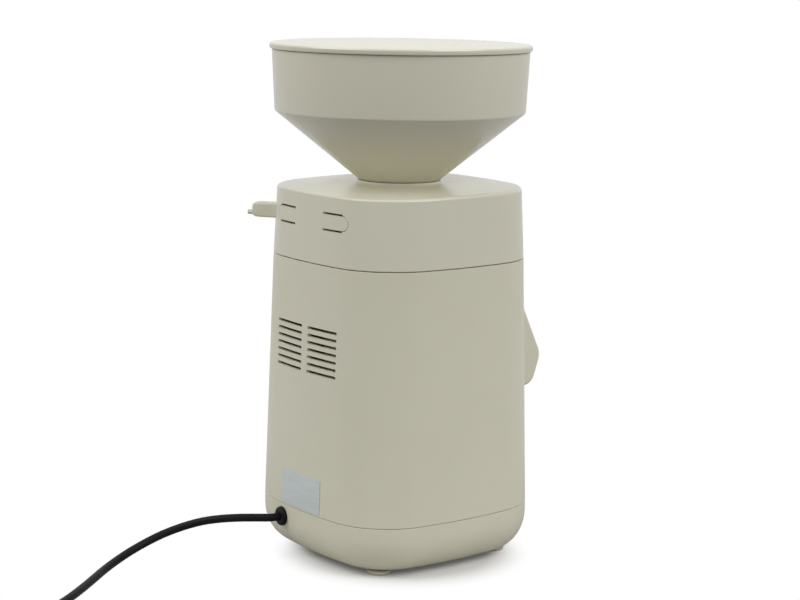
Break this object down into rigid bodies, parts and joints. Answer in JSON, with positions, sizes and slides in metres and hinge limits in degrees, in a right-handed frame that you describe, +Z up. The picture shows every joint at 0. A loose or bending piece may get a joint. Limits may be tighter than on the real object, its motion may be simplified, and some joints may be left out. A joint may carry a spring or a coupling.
{
  "type": "electric stone grain mill",
  "caption": "Upright household stone grain mill with a round hopper and lid on a square cream case, an adjusting lever, a front spout and a mains cord.",
  "frame": {"origin": "under the middle of the mill's box on the standing surface", "axes": "+Z up along the motor shaft, +Y towards the flour spout, -X towards the adjusting lever"},
  "size_m": [0.2032, 0.4532, 0.3546],
  "materials": {
    "cream_shell": "smooth moulded plastic, light grained",
    "cream_gloss": "glossy moulded plastic",
    "inner_plastic": "plain glass-filled plastic",
    "rubber_foot": "soft cream rubber",
    "black_rubber": "smooth black cable rubber",
    "black_plastic": "moulded",
    "fan_plastic": "black glass-filled plastic",
    "zinc_steel": "zinc-plated sheet and screws",
    "shaft_steel": "ground",
    "motor_iron": "laminated core",
    "die_cast": "die cast",
    "copper_winding": "lacquered copper wire",
    "grindstone": "rough corundum ceramic",
    "felt": "felt",
    "white_plastic": "plain"
  },
  "bodies": {
    "base": {"bottom_cover": "cream_shell", "capacitor": "white_plastic", "capacitor_nut": "zinc_steel", "case_screw_1": "zinc_steel", "case_screw_2": "zinc_steel", "case_screw_3": "zinc_steel", "case_screw_4": "zinc_steel", "chamber_gasket": "black_rubber", "cord_coil": "black_rubber", "cord_gland": "black_rubber", "flour_chute": "inner_plastic", "flour_spout": "cream_shell", "foot_back_left": "rubber_foot", "foot_back_right": "rubber_foot", "foot_front_left": "rubber_foot", "foot_front_right": "rubber_foot", "grinding_chamber": "inner_plastic", "lower_bearing": "shaft_steel", "lower_motor_shield": "die_cast", "lower_winding": "copper_winding", "main_housing": "cream_shell", "motor_bolt_1": "zinc_steel", "motor_bolt_2": "zinc_steel", "motor_bolt_3": "zinc_steel", "motor_bolt_4": "zinc_steel", "motor_plate": "zinc_steel", "plug": "black_rubber", "power_cord": "black_rubber", "shaft_seal": "felt", "stator_core": "motor_iron", "switch_body": "black_plastic", "terminal_block": "white_plastic", "upper_bearing": "shaft_steel", "upper_motor_shield": "die_cast", "upper_winding": "copper_winding"},
    "rotor": {"motor_shaft": "shaft_steel", "rotor_core": "motor_iron", "cooling_fan": "fan_plastic", "stone_carrier": "shaft_steel", "lower_stone": "grindstone", "flour_sweeper": "inner_plastic", "carrier_nut": "zinc_steel"},
    "upper_unit": {"upper_housing": "cream_gloss", "bearing_plate": "inner_plastic", "bearing_plate_screw_1": "zinc_steel", "bearing_plate_screw_2": "zinc_steel", "bearing_plate_screw_3": "zinc_steel", "bearing_plate_screw_4": "zinc_steel"},
    "left_tab": {"release_tab_left": "cream_shell"},
    "right_tab": {"release_tab_right": "cream_shell"},
    "adjuster": {"adjusting_ring": "inner_plastic", "adjusting_lever": "cream_shell", "lever_screw": "zinc_steel"},
    "stone_holder": {"stone_holder": "die_cast", "upper_stone": "grindstone"},
    "hopper": {"hopper": "cream_gloss"},
    "lid": {"lid": "cream_gloss"},
    "rocker": {"switch_rocker": "black_plastic"}
  },
  "joints": [
    {"name": "lid_lift", "type": "slide", "parent": "hopper", "child": "lid", "axis": [0, 0, 1], "range_m": [0, 0.06]},
    {"name": "hopper_lift", "type": "slide", "parent": "upper_unit", "child": "hopper", "axis": [0, 0, 1], "range_m": [0, 0.06]},
    {"name": "top_lift", "type": "slide", "parent": "base", "child": "upper_unit", "axis": [0, 0, 1], "range_m": [0, 0.07]},
    {"name": "grind_adjust", "type": "hinge", "parent": "upper_unit", "child": "adjuster", "pos_m": [0, -0.0104, 0.2335], "axis": [0, 0, 1], "range_deg": [-72, 0]},
    {"name": "stone_gap", "type": "slide", "parent": "upper_unit", "child": "stone_holder", "axis": [0, 0, 1], "range_m": [0, 0.0016]},
    {"name": "motor_spin", "type": "hinge", "parent": "base", "child": "rotor", "pos_m": [0, -0.0104, 0.08], "axis": [0, 0, 1], "continuous": true},
    {"name": "left_tab_press", "type": "hinge", "parent": "upper_unit", "child": "left_tab", "pos_m": [-0.0162, -0.08457, 0.2388], "axis": [0, 0, 1], "range_deg": [-5, 0], "stiffness_Nm_per_rad": 1.5},
    {"name": "right_tab_press", "type": "hinge", "parent": "upper_unit", "child": "right_tab", "pos_m": [0.0162, -0.08457, 0.2388], "axis": [0, 0, 1], "range_deg": [0, 5], "stiffness_Nm_per_rad": 1.5},
    {"name": "power_rocker", "type": "hinge", "parent": "base", "child": "rocker", "pos_m": [-0.07625, -0.0104, 0.18696], "axis": [0, 1, 0], "range_deg": [0, 16]}
  ],
  "couplings": [
    {"joint": "stone_gap", "follows": "grind_adjust", "m_per_rad": -0.0012732}
  ]
}
